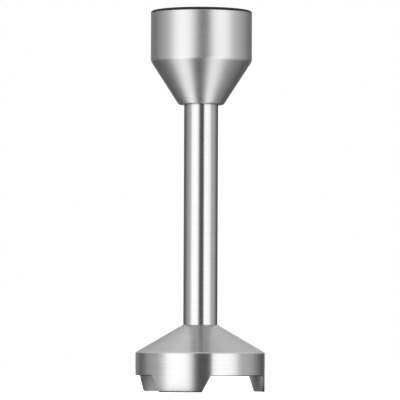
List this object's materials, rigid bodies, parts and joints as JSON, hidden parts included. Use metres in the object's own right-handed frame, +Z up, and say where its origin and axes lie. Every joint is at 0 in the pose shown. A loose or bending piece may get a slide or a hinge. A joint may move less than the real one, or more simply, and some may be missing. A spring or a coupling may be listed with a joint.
{
  "type": "immersion blender arm",
  "caption": "Detachable blending arm: coupling head with a soft rim ring, straight tube, and a notched bell guard over a bent-wing blade on a spinning shaft.",
  "frame": {"origin": "on the arm's axis, at the height of the surface that the guard's feet stand on", "axes": "+Z up the arm from the guard to the coupling head; -Y through the middle of one foot"},
  "size_m": [0.0762, 0.0762, 0.2235],
  "materials": {
    "brushed_steel": "satin, turned",
    "polished_steel": "polished",
    "black_rubber": "matte",
    "seal_rubber": "matte",
    "black_plastic": "fine spark texture",
    "grey_plastic": "matte",
    "white_plastic": "matte",
    "fastener_steel": "satin",
    "bearing_steel": "polished",
    "spring_steel": "dull",
    "ground_steel": "ground",
    "blade_steel": "ground, sharpened edges",
    "cast_aluminium": "as turned",
    "bronze": "sintered, oily"
  },
  "bodies": {
    "arm_body": {"head_shell": "brushed_steel", "rim_ring": "black_rubber", "shaft_tube": "polished_steel", "bell_guard": "brushed_steel", "coupling_socket": "black_plastic", "socket_o_ring": "seal_rubber", "socket_screw_1": "fastener_steel", "socket_screw_2": "fastener_steel", "socket_screw_3": "fastener_steel", "bearing_carrier": "cast_aluminium", "wave_washer": "spring_steel", "bearing_outer_race": "bearing_steel", "bearing_shield_lower": "bearing_steel", "bearing_shield_upper": "bearing_steel", "bearing_circlip": "spring_steel", "centre_bush": "white_plastic", "centre_damper": "seal_rubber", "lower_housing": "grey_plastic", "housing_o_ring": "seal_rubber", "lower_bush": "bronze", "lip_seal": "seal_rubber", "seal_spring": "spring_steel", "seal_cap": "grey_plastic"},
    "drive_rotor": {"drive_shaft": "ground_steel", "drive_coupling": "black_plastic", "coupling_pin": "fastener_steel", "bearing_inner_race": "bearing_steel", "shaft_e_clip": "spring_steel", "spacer_sleeve": "ground_steel", "thrust_washer": "white_plastic", "blade_hub": "fastener_steel", "blade": "blade_steel", "blade_washer": "fastener_steel", "blade_nut": "fastener_steel"},
    "ball_cage": {"bearing_cage": "white_plastic", "bearing_ball_1": "bearing_steel", "bearing_ball_2": "bearing_steel", "bearing_ball_3": "bearing_steel", "bearing_ball_4": "bearing_steel", "bearing_ball_5": "bearing_steel", "bearing_ball_6": "bearing_steel", "bearing_ball_7": "bearing_steel"}
  },
  "joints": [
    {"name": "shaft_spin", "type": "hinge", "parent": "arm_body", "child": "drive_rotor", "pos_m": [0, 0, 0.1889], "axis": [0, 0, 1], "continuous": true},
    {"name": "cage_spin", "type": "hinge", "parent": "arm_body", "child": "ball_cage", "pos_m": [0, 0, 0.1889], "axis": [0, 0, 1], "continuous": true}
  ],
  "couplings": [
    {"joint": "cage_spin", "follows": "shaft_spin", "ratio": 0.36}
  ]
}
